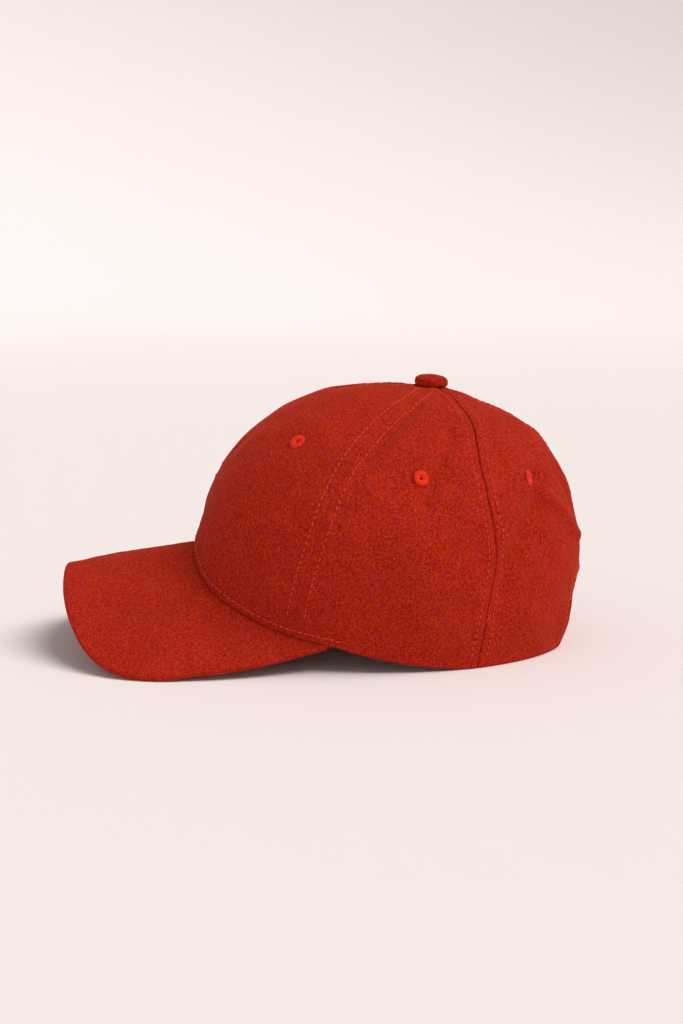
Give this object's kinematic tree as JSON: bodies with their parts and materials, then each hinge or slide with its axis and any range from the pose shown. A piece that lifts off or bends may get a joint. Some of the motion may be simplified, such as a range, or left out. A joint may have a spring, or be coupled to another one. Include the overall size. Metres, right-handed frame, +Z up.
{
  "type": "baseball cap",
  "caption": "Soft red cloth baseball cap with a curved stiff brim, panelled crown, thread-bound eyelets, a covered top button and a half-moon back opening with a strap.",
  "frame": {"origin": "centre of the bounding box's bottom, on the surface the cap stands on", "axes": "+Z up, -Y the way the brim points, +X the wearer's left"},
  "size_m": [0.1848, 0.2712, 0.1399],
  "materials": {
    "cap_cloth": "matte heathered wool-like twill",
    "thread": "satin embroidery thread"
  },
  "bodies": {
    "root": {"crown_front_left": "cap_cloth", "crown_front_right": "cap_cloth", "crown_side_left": "cap_cloth", "crown_side_right": "cap_cloth", "crown_back_left": "cap_cloth", "crown_back_right": "cap_cloth", "brim": "cap_cloth", "back_strap": "cap_cloth", "top_button": "cap_cloth", "eyelet_front_left": "thread", "eyelet_front_right": "thread", "eyelet_side_left": "thread", "eyelet_side_right": "thread", "eyelet_back_left": "thread", "eyelet_back_right": "thread"}
  },
  "joints": []
}
